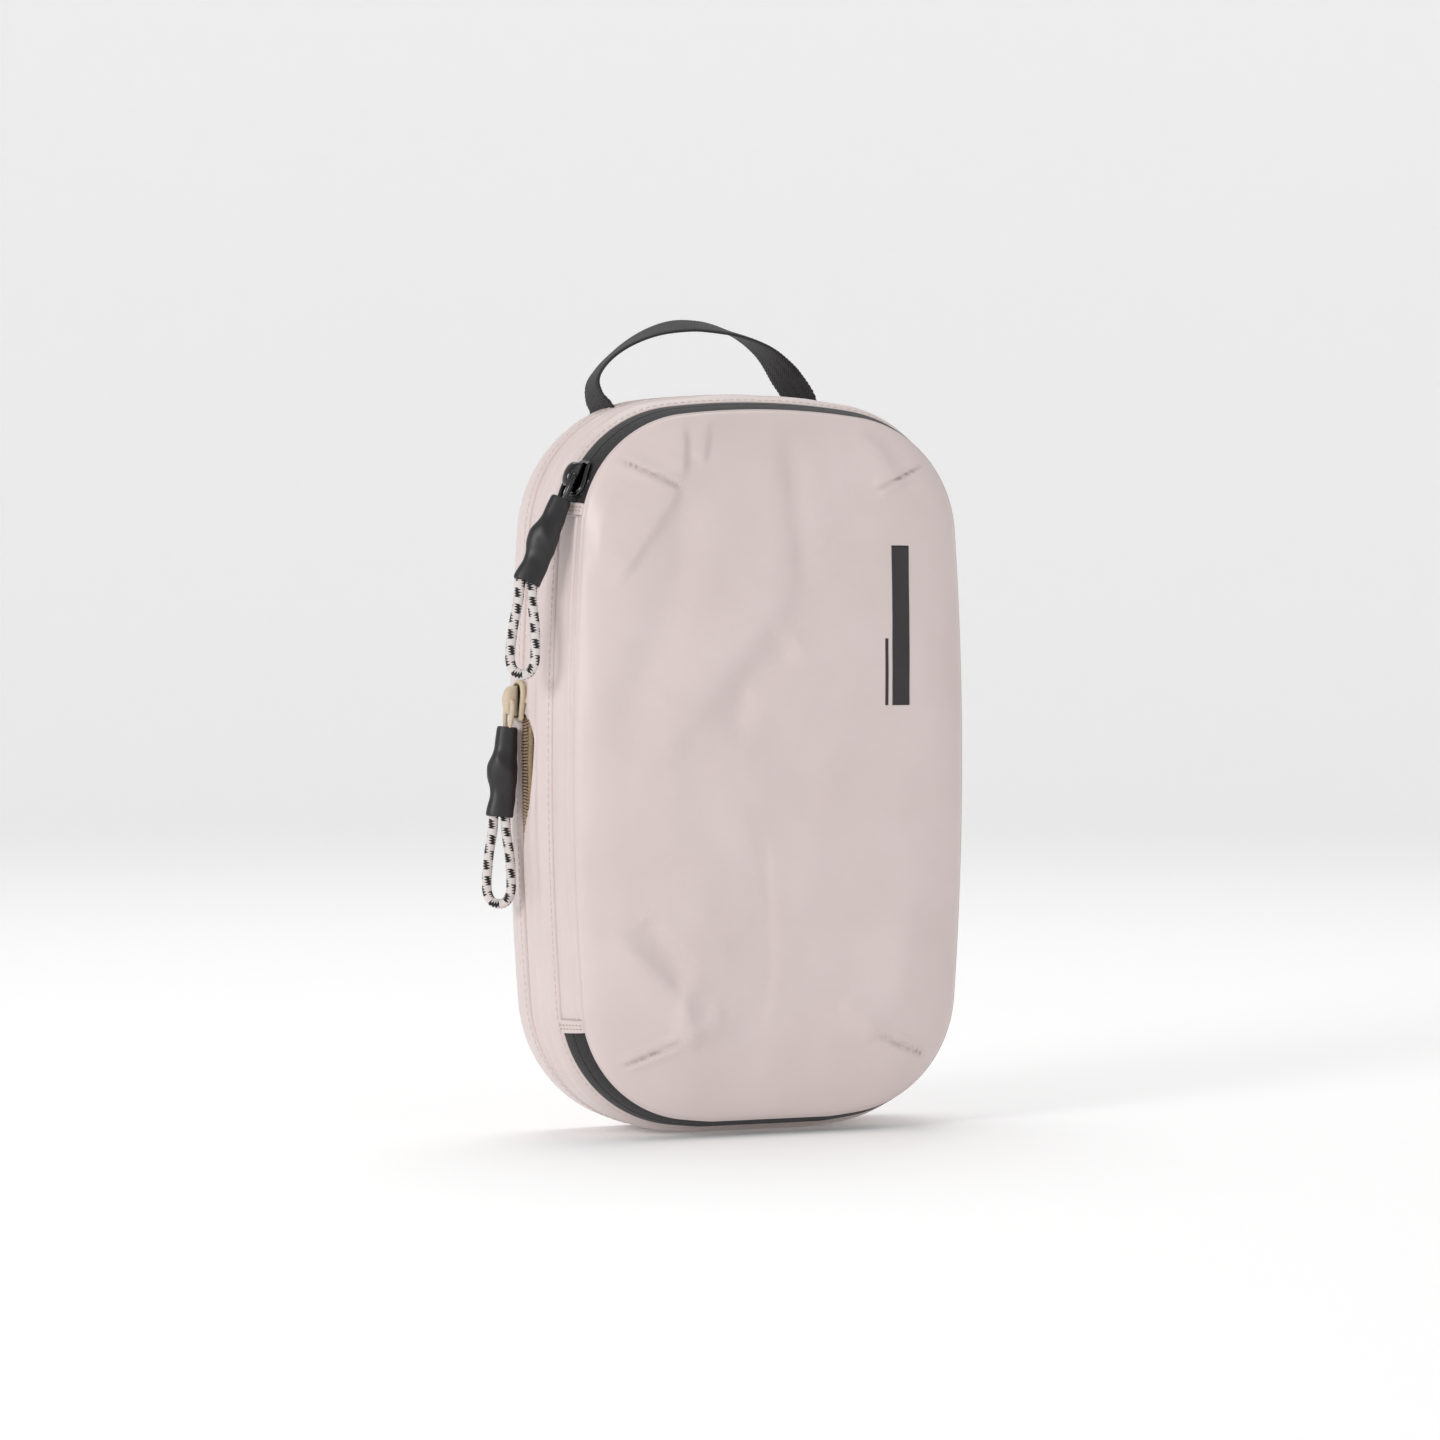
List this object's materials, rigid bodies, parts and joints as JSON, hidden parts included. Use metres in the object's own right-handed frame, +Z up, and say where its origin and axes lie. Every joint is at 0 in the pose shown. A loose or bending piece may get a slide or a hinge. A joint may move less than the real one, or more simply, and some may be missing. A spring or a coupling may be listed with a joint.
{
  "type": "packing cube",
  "caption": "Soft compressible packing cube with a fold-back zipped lid, an expansion zip, corded zip pulls and a webbing handle",
  "frame": {"origin": "on the flat of the base that the bag stands on, midway across its width, a little in front of the expansion seam", "axes": "+Z up along the bag's height, +X across its width, +Y from the lid to the back panel"},
  "size_m": [0.1718, 0.0633, 0.2838],
  "materials": {
    "ivory_fabric": "thin coated nylon, ivory, soft sheen",
    "black_tape": "woven zip tape and binding, matt black",
    "black_coil": "nylon coil, black",
    "beige_tape": "woven zip tape, beige",
    "beige_coil": "nylon coil, beige",
    "beige_metal": "matt beige paint on die-cast metal",
    "black_metal": "glossy black lacquer on die-cast metal",
    "black_rubber": "soft matt black moulding",
    "cord": "round braided cord, light grey with dark flecks",
    "black_webbing": "herringbone webbing, black"
  },
  "bodies": {
    "rear_shell": {"back_panel": "ivory_fabric", "rear_band": "ivory_fabric", "rear_binding": "black_tape", "handle_tail_left": "black_webbing", "handle_tail_right": "black_webbing", "expansion_tape_rear": "beige_tape", "expansion_coil_rear": "beige_coil", "expansion_gusset": "ivory_fabric"},
    "front_shell": {"front_gusset": "ivory_fabric", "expansion_tape_front": "beige_tape", "expansion_coil_front": "beige_coil", "main_zip_tape_shell": "black_tape", "main_zip_coil_shell": "black_coil", "hinge_panel": "ivory_fabric", "hinge_hem_top": "ivory_fabric", "hinge_hem_bottom": "ivory_fabric", "hinge_binding": "black_tape", "gusset_binding": "black_tape"},
    "lid": {"front_panel": "ivory_fabric", "main_zip_tape_lid": "black_tape", "main_zip_coil_lid": "black_coil", "lid_binding": "black_tape"},
    "handle": {"handle_webbing": "black_webbing"},
    "main_slider": {"main_slider_body": "black_metal", "main_slider_crown": "black_metal"},
    "main_pull": {"main_pull_link": "black_metal", "main_pull_sleeve": "black_rubber", "main_pull_cord": "cord"},
    "expansion_slider": {"expansion_slider_body": "beige_metal", "expansion_slider_crown": "beige_metal"},
    "expansion_pull": {"expansion_pull_link": "black_metal", "expansion_pull_sleeve": "black_rubber", "expansion_pull_cord": "cord"}
  },
  "joints": [
    {"name": "expansion", "type": "slide", "parent": "rear_shell", "child": "front_shell", "axis": [0, -1, 0], "range_m": [0, 0.035], "deforming": ["expansion_gusset"]},
    {"name": "lid_fold", "type": "hinge", "parent": "front_shell", "child": "lid", "pos_m": [-0.0733, -0.0266, 0.127], "axis": [0, 0, -1], "range_deg": [0, 135]},
    {"name": "handle_flop", "type": "hinge", "parent": "rear_shell", "child": "handle", "pos_m": [-0.008, 0.0196, 0.256], "axis": [1, 0, 0], "range_deg": [-10, 50], "stiffness_Nm_per_rad": 0.01},
    {"name": "main_slider_run", "type": "hinge", "parent": "front_shell", "child": "main_slider", "pos_m": [-0.02763, -0.01975, 0.20576], "axis": [0, 1, 0], "range_deg": [0, 44]},
    {"name": "main_pull_swing", "type": "hinge", "parent": "main_slider", "child": "main_pull", "pos_m": [-0.07071, -0.02104, 0.22631], "axis": [0, 1, 0], "range_deg": [0, 100]},
    {"name": "expansion_slider_run", "type": "hinge", "parent": "rear_shell", "child": "expansion_slider", "pos_m": [1.049, 0.00955, 0.12707], "axis": [0, 1, 0], "range_deg": [-3.1, 2.8]},
    {"name": "expansion_pull_swing", "type": "hinge", "parent": "expansion_slider", "child": "expansion_pull", "pos_m": [-0.08238, 0.00955, 0.14959], "axis": [0, 1, 0], "range_deg": [-1, 100]}
  ]
}
